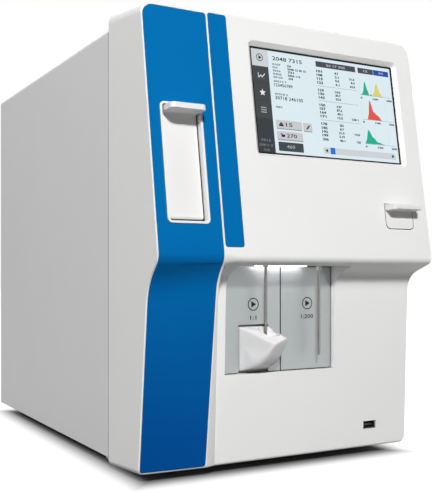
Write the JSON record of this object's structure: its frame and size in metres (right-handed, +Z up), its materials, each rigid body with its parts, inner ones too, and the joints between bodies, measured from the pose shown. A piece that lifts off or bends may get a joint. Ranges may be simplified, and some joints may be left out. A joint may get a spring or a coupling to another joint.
{
  "type": "hematology analyzer",
  "caption": "Bench-top hematology analyzer with a tilted touch screen, a tube door, a micro-tube drawer and an open sampling alcove with two needles and start plates.",
  "frame": {"origin": "on the table, under the middle of the whole footprint", "axes": "+Z up, front faces -Y, +X to the right as seen from the front"},
  "size_m": [0.29, 0.4744, 0.41],
  "materials": {
    "white_plastic": "fine satin moulded ABS",
    "case_paint": "fine textured powder coat, pale grey",
    "blue_film": "satin blue overlay",
    "black_plastic": "matt black",
    "screen_glass": "glossy touch panel over the display",
    "brushed_plate": "brushed",
    "bright_steel": "polished stainless",
    "zinc_steel": "zinc plated sheet",
    "rubber": "soft black rubber",
    "clear_plastic": "milky acrylic",
    "circuit_board": "solder-masked board",
    "light_bar": "milky light bar"
  },
  "bodies": {
    "chassis": {"front_bezel": "white_plastic", "door_housing": "white_plastic", "rinse_collar_left": "white_plastic", "rinse_collar_right": "white_plastic", "case_cover": "case_paint", "rear_panel": "case_paint", "base_plate": "case_paint", "front_frame": "case_paint", "blue_panel_main": "blue_film", "blue_panel_side": "blue_film", "lcd_module": "black_plastic", "piercer_motor": "black_plastic", "needle_motor_left": "black_plastic", "needle_motor_right": "black_plastic", "start_switches": "black_plastic", "fan_frame": "black_plastic", "power_inlet": "black_plastic", "syringe_motor": "black_plastic", "valve_bank": "black_plastic", "vacuum_pump": "black_plastic", "touch_glass": "screen_glass", "door_hinge_pin": "bright_steel", "usb_socket": "bright_steel", "lcd_bracket": "zinc_steel", "piercer_guide": "zinc_steel", "drawer_guide": "zinc_steel", "plate_carrier": "zinc_steel", "needle_frame": "zinc_steel", "mid_wall": "zinc_steel", "chamber_bracket": "zinc_steel", "power_supply": "zinc_steel", "data_sockets": "zinc_steel", "foot_front_left": "rubber", "foot_front_right": "rubber", "foot_rear_left": "rubber", "foot_rear_right": "rubber", "rinse_cup": "clear_plastic", "counting_chamber_1": "clear_plastic", "counting_chamber_2": "clear_plastic", "syringe_block": "clear_plastic", "reagent_ports": "clear_plastic", "main_board": "circuit_board", "alcove_light": "light_bar"},
    "door": {"door_leaf": "white_plastic", "door_tube_holder": "white_plastic"},
    "drawer": {"sample_drawer": "white_plastic", "drawer_adapter": "clear_plastic"},
    "start_left": {"start_plate_left": "brushed_plate"},
    "start_right": {"start_plate_right": "brushed_plate"},
    "needle_set_left": {"needle_left": "bright_steel", "needle_carriage_left": "white_plastic", "lead_screw_left": "bright_steel"},
    "needle_set_right": {"needle_right": "bright_steel", "needle_carriage_right": "white_plastic", "lead_screw_right": "bright_steel"},
    "piercer": {"piercing_needle": "bright_steel", "piercer_block": "white_plastic"},
    "plungers": {"syringe_plungers": "bright_steel"},
    "rotor": {"fan_rotor": "black_plastic"},
    "rocker": {"power_rocker": "black_plastic"}
  },
  "joints": [
    {"name": "tube_door", "type": "hinge", "parent": "chassis", "child": "door", "pos_m": [-0.1141, -0.21697, 0.22206], "axis": [1, 0, 0], "range_deg": [0, 35]},
    {"name": "drawer_slide", "type": "slide", "parent": "chassis", "child": "drawer", "axis": [0, -1, 0], "range_m": [0, 0.04]},
    {"name": "start_left_press", "type": "slide", "parent": "chassis", "child": "start_left", "axis": [0, 1, 0], "range_m": [0, 0.002], "stiffness_N_per_m": 1500, "springref_m": -0.001},
    {"name": "start_right_press", "type": "slide", "parent": "chassis", "child": "start_right", "axis": [0, 1, 0], "range_m": [0, 0.002], "stiffness_N_per_m": 1500, "springref_m": -0.001},
    {"name": "needle_left_lift", "type": "slide", "parent": "chassis", "child": "needle_set_left", "axis": [0, 0, 1], "range_m": [0, 0.055]},
    {"name": "needle_right_lift", "type": "slide", "parent": "chassis", "child": "needle_set_right", "axis": [0, 0, 1], "range_m": [0, 0.0745]},
    {"name": "piercer_lift", "type": "slide", "parent": "chassis", "child": "piercer", "axis": [0, 0.1542, 0.988], "range_m": [0, 0.017]},
    {"name": "plunger_stroke", "type": "slide", "parent": "chassis", "child": "plungers", "axis": [0, 0, -1], "range_m": [0, 0.025]},
    {"name": "fan_spin", "type": "hinge", "parent": "chassis", "child": "rotor", "pos_m": [0.086, 0.2133, 0.31], "axis": [0, 1, 0], "continuous": true},
    {"name": "rocker_tip", "type": "hinge", "parent": "chassis", "child": "rocker", "pos_m": [0.1, 0.2243, 0.071], "axis": [1, 0, 0], "range_deg": [0, 14]}
  ]
}
